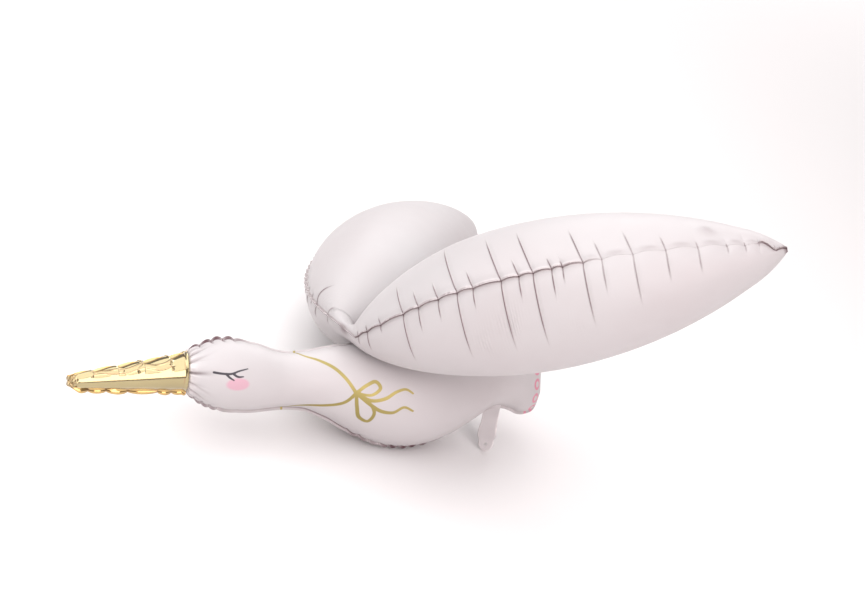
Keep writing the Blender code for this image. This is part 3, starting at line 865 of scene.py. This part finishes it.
# By the beak's joint the film is made glossier and painted paler, a painted sheen.
joint_sheen_and_gloss = JOINT_SHEEN_AND_GLOSS * bell(body_u - body_u.min(), JOINT_SHEEN_REACH_SHARE * BODY_LENGTH)
eye_lines = (EYE_LID, *EYE_LASHES)
eye_brush = EYE_HALF_WIDTH * np.array([1.1, 1.0, 0.6])
eye = np.min([stroke(brush_line(line, 14), eye_brush, body_uv) for line in eye_lines], axis=0)
cheek_off = (body_uv - CHEEK_CENTRE) / CHEEK_HALF_SIZE
cheek = (np.linalg.norm(cheek_off, axis=-1) - 1) * CHEEK_HALF_SIZE[1]
ribbon_lines = (RIBBON_BACK, RIBBON_BELLY, BOW_UPPER, BOW_LOWER, TAIL_UPPER, TAIL_LOWER)
ribbon_brush = RIBBON_HALF_WIDTH * np.array([1.1, 1.25, 0.7])
ribbon = np.min([stroke(brush_line(line, 40), ribbon_brush, body_uv) for line in ribbon_lines], axis=0)
tail_row = np.mod(body_v, LOOPS_PITCH) - LOOPS_PITCH / 2
loop_off = np.hypot(body_u - LOOPS_PLACE, tail_row)
loops = np.where(body_u > LOOPS_FROM, np.abs(loop_off - LOOP_RADIUS), 1.0)

body_masks = {
    "painted_shade": body_shade,
    # The border mask paints the body's border paler as a highlight, more weakly, and makes it glossier.
    "border": np.maximum(BODY_BORDER_SHEEN_AND_GLOSS * body_border, joint_sheen_and_gloss),
    "slack": 0 * body_shade,
    "eye": eye,
    "cheek": cheek,
    "ribbon": ribbon,
    "loops": loops - LOOP_HALF_WIDTH,
}
body = skin_object("body_film", body_rings, body_uv, body_masks)

EYE_GREY = (0.060, 0.055, 0.065)
CHEEK_PINK = (0.62, 0.38, 0.45)
RIBBON_GOLD = (0.38, 0.315, 0.12)
LOOP_PINK = (0.66, 0.26, 0.34)
PRINT_EDGE = 0.0004
CHEEK_EDGE = 0.0015

body_film = film_material("satin pink film of the body")
body_tree = body_film.node_tree
body_shader = body_tree.nodes["Principled BSDF"]


def print_mask(of_name, edge=PRINT_EDGE):
    """1 inside a print, 0 outside it, from the signed distance to its outline."""
    inputs = {"Value": kept_mask(body_tree, of_name), "From Min": edge, "From Max": -edge}
    return node(body_tree, "MapRange", inputs).outputs["Result"]


gold_mask = print_mask("ribbon")
film_metal = body_shader.inputs["Metallic"].links[0].from_socket
printed = body_shader.inputs["Base Color"].links[0].from_socket
printed = mixed(body_tree, print_mask("cheek", CHEEK_EDGE), printed, CHEEK_PINK)
printed = mixed(body_tree, print_mask("eye"), printed, EYE_GREY)
printed = mixed(body_tree, print_mask("loops"), printed, LOOP_PINK)
printed = mixed(body_tree, gold_mask, printed, RIBBON_GOLD)
metal = node(body_tree, "Math", {0: gold_mask, 1: film_metal}, operation="MAXIMUM")
feed(body_tree, body_shader, {"Base Color": printed, "Metallic": metal.outputs[0]})
body.data.materials.append(body_film)
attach(body, "root")
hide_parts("body")

# Filling tab
# A flat strip of two plain sheets that hangs from the belly seam before the tail. It is welded
# shut along its edges, and a hole is punched near its end.

TAB_LENGTH = 0.087
TAB_ROOT = 0.014
TAB_WIDTH = 0.033
TAB_HALF_THICKNESS = 0.00045
TAB_PLACE_SHARE = 0.851
TAB_LEAN = math.radians(8.0)
TAB_HOLE_DIAMETER = 0.006
TAB_HOLE_FROM_END = 0.0145
TAB_RIPPLE = 0.0012
TAB_RIPPLE_RADIANS_PER_METRE = 95
TAB_RIPPLE_FADES = (0.02, 0.03)
TAB_END_RIPPLE = 0.2
TAB_RING_CROWDING = 1.3
TAB_EDGE_BORDER = 0.2
TAB_SHARP_ANGLE = math.radians(50)
TAB_SIDE_POINTS = 90
TAB_ROOT_POINTS = 8
TAB_FACE_RINGS = 18
TAB_WIDTH_STATIONS = np.array([
    (-0.014, 1.35), (0.008, 1.08), (0.030, 1.05), (0.048, 1.26), (0.058, 1.22), (0.064, 1.00),
    (0.074, 0.92), (0.082, 0.55), (0.087, 0.0),
])


def tab_grid():
    """Rings from the hole's edge out to the tab's outline, on one face and back on the other.

    The outline's half width is a smooth line down the tab, and the hole's edge is a circle. A ring
    is the straight blend of the two, at the same bearing from the hole. A sine down the tab, which
    grows from its left edge to its right one, ripples it, and fades at the seam and at the end.
    """
    quarter_turn = np.linspace(0, math.pi / 2, TAB_SIDE_POINTS)
    down = np.sin(quarter_turn) * (TAB_LENGTH + TAB_ROOT) - TAB_ROOT
    half = TAB_WIDTH / 2 * np.maximum(smooth_line(*TAB_WIDTH_STATIONS.T, down), 0)
    right = np.stack([half, -down], axis=-1)
    left = np.stack([-half[::-1], -down[::-1]], axis=-1)
    root_across = np.linspace(-half[0], half[0], TAB_ROOT_POINTS + 2)[1:-1]
    root = np.stack([root_across, 0 * root_across - down[0]], axis=-1)
    outline = np.concatenate([right, left[1:], root])
    centre = np.array([0.0, TAB_HOLE_FROM_END - TAB_LENGTH])
    off = outline - centre
    hole = centre + off / np.linalg.norm(off, axis=1, keepdims=True) * TAB_HOLE_DIAMETER / 2
    blend = np.linspace(0, 1, TAB_FACE_RINGS)[:, None, None] ** TAB_RING_CROWDING
    face = hole + (outline - hole) * blend
    x, z = face[..., 0], face[..., 1]
    ripple = TAB_RIPPLE * np.sin(z * TAB_RIPPLE_RADIANS_PER_METRE) * (1 + x / TAB_WIDTH * 2)
    ripple = ripple * np.clip(-z / TAB_RIPPLE_FADES[0], 0, 1)
    ripple = ripple * np.clip((TAB_LENGTH + z) / TAB_RIPPLE_FADES[1], TAB_END_RIPPLE, 1)
    front = np.stack([x, ripple - TAB_HALF_THICKNESS, z], axis=-1)
    back = front + [0, 2 * TAB_HALF_THICKNESS, 0]
    return np.concatenate([front, back[::-1]])


tab_flat = tab_grid()
tab_turn = np.array(Matrix.Rotation(TAB_LEAN, 3, "Y"))
tab_along, _, tab_bottom = body_place(np.array([TAB_PLACE_SHARE]))
tab_rings = tab_flat @ tab_turn.T + [tab_along[0], 0, tab_bottom[0]]
tab_edge = np.abs(np.linspace(-1, 1, len(tab_flat)))[:, None] + 0 * tab_flat[..., 0]
tab_faces = band_faces(*tab_edge.shape, True)
# The edges' border mask paints them paler as a highlight, and makes them glossier.
tab_border = 1 - ease(0.0, TAB_EDGE_BORDER, tab_edge)
tab_masks = {"border": tab_border, "painted_shade": 0 * tab_edge, "slack": 0 * tab_edge}
tab = film_object("filling_tab", tab_rings, tab_faces, tab_flat[..., [0, 2]], tab_masks)
tab.data.set_sharp_from_angle(angle=TAB_SHARP_ANGLE)
tab.data.materials.append(film_material("plain film of the tab"))
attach(tab, "root")
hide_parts("body")

# Beak
# A long cone of bright gold foil, blown up hard and glued over the front of the head. Its top is
# crumpled into facets, its underside is tight and smooth, and the seam below it is ruffled.

BEAK_LENGTH = 0.200
BEAK_BASE_HEIGHT = 0.062
BEAK_BASE_WIDTH = 0.058
BEAK_TIP_HEIGHT = 0.022
BEAK_TIP_WIDTH = 0.014
BEAK_DROP = 0.013
BEAK_TIP_SHARE = 0.95
BEAK_TIP_POWER = 14
BEAK_GAP = 0.0003
BEAK_END_SHARES = (0.03, 0.05)
BEAK_TIP_RELIEF = 0.4
BEAK_TOP_CREASES = np.array([0.17, 0.39, 0.60, 0.80])
BEAK_SEAM_CREASES = np.array([0.13, 0.25, 0.50, 0.68, 0.83])
BEAK_LONG_CREASES = ((116, 0.16, 0.78), (137, 0.18, 0.80))
BEAK_CREASE_END_SHARE = 0.04
BEAK_LOBE_HEIGHT = 0.0034
BEAK_LOBE_ANGLES = (0.50 * math.pi, 0.90 * math.pi)
BEAK_SHORT_CREASE_ANGLES = (math.radians(98), math.radians(112))
BEAK_STEP = 0.0085
BEAK_CREASE_DEPTH = 0.0016
BEAK_CREASE_WIDTH = 0.0013
BEAK_CREASE_SHADE = 0.6
BEAK_TOP_SEAM_TINT = 0.27
BEAK_LOW_SEAM_SHADE = 0.9
BEAK_TOP_SEAM_WIDTH = 0.0015
BEAK_TOP_SCALLOP = 0.0036
BEAK_SEAM_WIDTH = 0.009
BEAK_SEAM_END_SHARE = 0.12
BEAK_SEAM_FADE = 0.12
BEAK_SEAM_WAVE = 0.0034
BEAK_SEAM_WAVE_REACH = 0.30
BEAK_SEAM_SCALLOP = 0.0045
BEAK_ROLL = 0.0026
BEAK_ROLL_SHARE = 0.014
BEAK_FOLD_SHARE = 0.0476
BEAK_FOLD_REACH_SHARE = 0.006
BEAK_FOLD_SHADE = 0.8
BEAK_CRUMPLE = 0.0022
BEAK_CRUMPLE_SHARES = (0.90, 0.97)
BEAK_ROWS = 300
BEAK_COLUMNS = 90
BEAK_CROWD_WIDTH = 0.02
BEAK_CROWD_WEIGHT = 2.0


def beak_grid():
    """Grid of the beak from its rim to its tip, round its section, with its masks.

    A tapering ellipse gets lobes along its top, each rising evenly towards the tip so that they
    stand like steps, straight creases that run along its upper half, short slanting creases
    between the lobes, a rolled rim, a crumpled tip, and a wide wavy border below.
    """
    share = crowded(0.0, 1.0, BEAK_ROWS, BEAK_TOP_CREASES, BEAK_CROWD_WIDTH, BEAK_CROWD_WEIGHT)
    share = share[:, None]
    rounding = np.sqrt(1 - (share * BEAK_TIP_SHARE) ** BEAK_TIP_POWER)
    roll = 1 + 2 * BEAK_ROLL / BEAK_BASE_HEIGHT * bell(share - BEAK_ROLL_SHARE, BEAK_ROLL_SHARE)
    height = (BEAK_BASE_HEIGHT + (BEAK_TIP_HEIGHT - BEAK_BASE_HEIGHT) * share) * rounding * roll
    width = (BEAK_BASE_WIDTH + (BEAK_TIP_WIDTH - BEAK_BASE_WIDTH) * share) * rounding * roll
    relief = BEAK_TIP_RELIEF + (1 - BEAK_TIP_RELIEF) * height / BEAK_BASE_HEIGHT
    angle = np.linspace(0.0, math.pi, BEAK_COLUMNS + 1)
    spread = with_borders(angle)
    top_ends = with_ends(BEAK_TOP_CREASES)
    low_ends = with_ends(BEAK_SEAM_CREASES)
    top_crest = crest_between(top_ends, share)
    low_crest = crest_between(low_ends, share)
    at_top = spread > math.pi / 2
    kept = ease(0, BEAK_END_SHARES[0], share) * ease(0, BEAK_END_SHARES[1], 1 - share)
    drawn_in = BEAK_TOP_SCALLOP * (1 - top_crest) * kept * (angle > math.pi / 2)
    low_width = BEAK_SEAM_WIDTH - BEAK_SEAM_SCALLOP * (1 - low_crest)
    low_width = low_width * ease(0, BEAK_SEAM_END_SHARE, 1 - share)
    seam_widths = (low_width, BEAK_TOP_SEAM_WIDTH)
    across, out = sheet_and_border(height / 2, width / 2, drawn_in, angle, *seam_widths)
    wave = BEAK_SEAM_WAVE * bell(spread, BEAK_SEAM_WAVE_REACH) * kept
    wave = wave * np.sin(math.pi * passed(low_ends, share))
    sheet = ease(0.0, BEAK_SEAM_FADE, off_seam(spread))
    step = BEAK_STEP * (np.mod(passed(top_ends, share), 1) - 0.5) * top_crest**0.4
    lobes = BEAK_LOBE_HEIGHT * (top_crest - 0.6) + step
    lobes = lobes * ease(*BEAK_LOBE_ANGLES, spread) * relief * kept
    creases = np.zeros_like(lobes)
    for degrees, start, end in BEAK_LONG_CREASES:
        bend = math.radians(degrees) + 0.10 * np.sin(19 * share) + 0.08 * (1 - top_crest)
        line = bell((spread - bend) * height / 2, BEAK_CREASE_WIDTH)
        line = line * ease(start - BEAK_CREASE_END_SHARE, start, share)
        line = line * (1 - ease(end, end + BEAK_CREASE_END_SHARE, share))
        creases = np.maximum(creases, line)
    for k, place in enumerate(BEAK_TOP_CREASES):
        slant = 0.05 * np.sin(2.1 * k) * (math.pi - spread) + 0.012 * np.sin(9 * spread + k)
        line = bell((share - place - slant) * BEAK_LENGTH, BEAK_CREASE_WIDTH)
        creases = np.maximum(creases, line * ease(*BEAK_SHORT_CREASE_ANGLES, spread))
    tip = ease(*BEAK_CRUMPLE_SHARES, share)
    crumple = BEAK_CRUMPLE * tip * np.sin(5 * spread + 60 * share) * np.sin(150 * share)
    raised = (lobes - BEAK_CREASE_DEPTH * creases * relief + crumple) * sheet
    rim, top, bottom = body_place(np.zeros(1))
    x = rim[0] - BEAK_GAP - BEAK_LENGTH * share - joint_bow(spread, share * BEAK_LENGTH)
    z = (top[0] + bottom[0]) / 2 - BEAK_DROP * share + across
    points = np.stack([ring(x), ring(wave + out, wave - out), ring(z)], axis=-1)
    points = points + outward(points) * ring(raised)[..., None]
    border = 1 - ease(0.0, BORDER_FADE, off_seam(spread)) + 0 * share
    # Painted shade: darker in the creases, between the low seam's puffs, in the crumpled tip, and in
    # patches
    # just behind the rim, where no fold is shaped; the top seam is drawn darker too.
    behind_rim = bell(share - BEAK_FOLD_SHARE, BEAK_FOLD_REACH_SHARE)
    seam_darkening = np.where(at_top, BEAK_TOP_SEAM_TINT, BEAK_LOW_SEAM_SHADE * (1 - low_crest))
    tip_shade = BEAK_CREASE_SHADE * tip * np.abs(np.sin(3 * spread + 70 * share))
    rim_shade = BEAK_FOLD_SHADE * behind_rim * np.abs(np.sin(4 * spread))
    mask = BEAK_CREASE_SHADE * creases
    for more in (seam_darkening * border, tip_shade, rim_shade):
        mask = np.maximum(mask, more)
    flat = np.stack([x, height / 2 * (spread - math.pi / 2)], axis=-1)
    return points, ring(mask), ring(border), ring(flat)


beak_rings, beak_shade, beak_border, beak_uv = beak_grid()
beak_masks = {"painted_shade": beak_shade[::-1], "border": beak_border[::-1]}
beak = skin_object("beak_foil", beak_rings[::-1], beak_uv[::-1], beak_masks)

GOLD = (0.37, 0.285, 0.095)
PALE_GOLD = (0.43, 0.345, 0.135)
# Darker gold painted as shade where the shade mask lies.
GOLD_SHADE = (0.34, 0.17, 0.03)
AMBER_GOLD = (0.64, 0.39, 0.065)
GOLD_COAT_IOR = 2.1
GOLD_COAT_ROUGHNESS = 0.12
GOLD_ROUGHNESS = (0.10, 0.18)
GOLD_UNEVENNESS = 0.0006
GOLD_NOISE_SCALE = 25.0

beak_gold = bpy.data.materials.new("bright gold foil")
beak_gold.use_nodes = True
gold_tree = beak_gold.node_tree
gold_noise = node(gold_tree, "TexNoise", {"Vector": film_place(gold_tree), "Scale": GOLD_NOISE_SCALE})
uneven = gold_noise.outputs["Fac"]
gold_colour = mixed(gold_tree, uneven, GOLD, PALE_GOLD)
gold_colour = mixed(gold_tree, kept_mask(gold_tree, "border"), gold_colour, AMBER_GOLD)
gold_ends = {"To Min": GOLD_ROUGHNESS[0], "To Max": GOLD_ROUGHNESS[1]}
feed(gold_tree, gold_tree.nodes["Principled BSDF"], {
    "Base Color": mixed(gold_tree, kept_mask(gold_tree, "painted_shade"), gold_colour, GOLD_SHADE),
    "Metallic": 1.0,
    "Roughness": node(gold_tree, "MapRange", {"Value": uneven, **gold_ends}).outputs["Result"],
    "Coat Weight": 1.0,
    "Coat IOR": GOLD_COAT_IOR,
    "Coat Roughness": GOLD_COAT_ROUGHNESS,
    "Normal": bumped(gold_tree, uneven, GOLD_UNEVENNESS),
})
beak.data.materials.append(beak_gold)
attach(beak, "root")
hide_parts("beak")

# Floor, light and camera
# A wide pale floor, one big soft box over the bird, smaller ones in front, behind and at the left,
# and a camera at the angle of the photograph, set from the flying bird and laid down with it.

FLOOR_HALF = 9.0
FLOOR_WHITE = (0.80, 0.785, 0.785)
FLOOR_ROUGHNESS = 0.8
PHOTO_WIDTH = 865
PHOTO_HEIGHT = 615
WAIST_PIXEL = (344.243, 330.465)
CAMERA_FOCAL_PIXELS = 1543.17
CAMERA_AZIMUTH = math.radians(-30.0)
CAMERA_ELEVATION = math.radians(4.107)
CAMERA_ROLL = math.radians(2.821)
CAMERA_DISTANCE = 2.68
SENSOR_WIDTH = 36.0
FRONT_TINT = (1.0, 0.91, 0.91)
ROOM_TINT = (1.0, 0.91, 0.915)
ROOM_STRENGTH = 0.35

floor_mesh = bpy.data.meshes.new("floor")
floor_corners = [(-FLOOR_HALF, -FLOOR_HALF, 0), (FLOOR_HALF, -FLOOR_HALF, 0),
                 (FLOOR_HALF, FLOOR_HALF, 0), (-FLOOR_HALF, FLOOR_HALF, 0)]
floor_mesh.from_pydata(floor_corners, [], [(0, 1, 2, 3)])
floor = bpy.data.objects.new("floor", floor_mesh)
bpy.context.scene.collection.objects.link(floor)
floor_paint = bpy.data.materials.new("pale floor")
floor_paint.use_nodes = True
floor_shader = floor_paint.node_tree.nodes["Principled BSDF"]
floor_look = {"Base Color": (*FLOOR_WHITE, 1.0), "Roughness": FLOOR_ROUGHNESS}
feed(floor_paint.node_tree, floor_shader, floor_look)
floor_mesh.materials.append(floor_paint)


def soft_box(name, place, aim, size, power, tint=(1.0, 1.0, 1.0)):
    """Square area light at a place, turned towards a point."""
    data = bpy.data.lights.new(name, "AREA")
    data.shape = "SQUARE"
    data.size = size
    data.energy = power
    data.color = tint
    made = bpy.data.objects.new(name, data)
    back = np.array(place, float) - aim
    back /= np.linalg.norm(back)
    right = np.cross([0, 0, 1], back)
    right /= np.linalg.norm(right)
    turned = np.stack([right, np.cross(back, right), back], axis=1)
    made.matrix_world = Matrix.Translation(place) @ Matrix(turned.tolist()).to_4x4()
    bpy.context.scene.collection.objects.link(made)


soft_box("soft box overhead", (-1.9, 0.3, 3.0), (-1.9, 0.1, 0.2), 6.4, 228)
soft_box("soft box in front", (0.4, -4.2, 2.2), (0, 0, 0.2), 3.2, 106, FRONT_TINT)
soft_box("soft box at the left", (-4.0, 0.6, 1.8), (0, 0, 0.2), 2.4, 36)
soft_box("soft box behind", (4.2, 5.8, 3.4), (3.8, 5.0, 0.0), 6.0, 280)
world = bpy.data.worlds.new("studio")
world.use_nodes = True
room = world.node_tree.nodes["Background"]
feed(world.node_tree, room, {"Color": (*ROOM_TINT, 1.0), "Strength": ROOM_STRENGTH})
bpy.context.scene.world = world
bpy.context.scene.view_settings.view_transform = "Standard"

camera_data = bpy.data.cameras.new("camera")
camera_data.sensor_width = SENSOR_WIDTH
camera_data.lens = CAMERA_FOCAL_PIXELS * SENSOR_WIDTH / PHOTO_WIDTH
camera = bpy.data.objects.new("camera", camera_data)
back_way = np.array([
    math.sin(CAMERA_AZIMUTH) * math.cos(CAMERA_ELEVATION),
    -math.cos(CAMERA_AZIMUTH) * math.cos(CAMERA_ELEVATION),
    math.sin(CAMERA_ELEVATION),
])
level = np.array([math.cos(CAMERA_AZIMUTH), math.sin(CAMERA_AZIMUTH), 0.0])
upright = np.cross(back_way, level)
camera_right = level * math.cos(CAMERA_ROLL) + upright * math.sin(CAMERA_ROLL)
camera_up = upright * math.cos(CAMERA_ROLL) - level * math.sin(CAMERA_ROLL)
off_right = (WAIST_PIXEL[0] - PHOTO_WIDTH / 2) / CAMERA_FOCAL_PIXELS * CAMERA_DISTANCE
off_up = (PHOTO_HEIGHT / 2 - WAIST_PIXEL[1]) / CAMERA_FOCAL_PIXELS * CAMERA_DISTANCE
camera_place = back_way * CAMERA_DISTANCE - camera_right * off_right - camera_up * off_up
flying = Matrix(np.stack([camera_right, camera_up, back_way], axis=1).tolist()).to_4x4()
flying = Matrix.Translation(camera_place) @ flying
lie = Matrix.Rotation(LIE_PITCH, 4, "Y") @ Matrix.Rotation(LIE_ROLL, 4, "X")
camera.matrix_world = Matrix.Translation(LIE_PLACE) @ lie @ flying
bpy.context.scene.collection.objects.link(camera)
bpy.context.scene.camera = camera
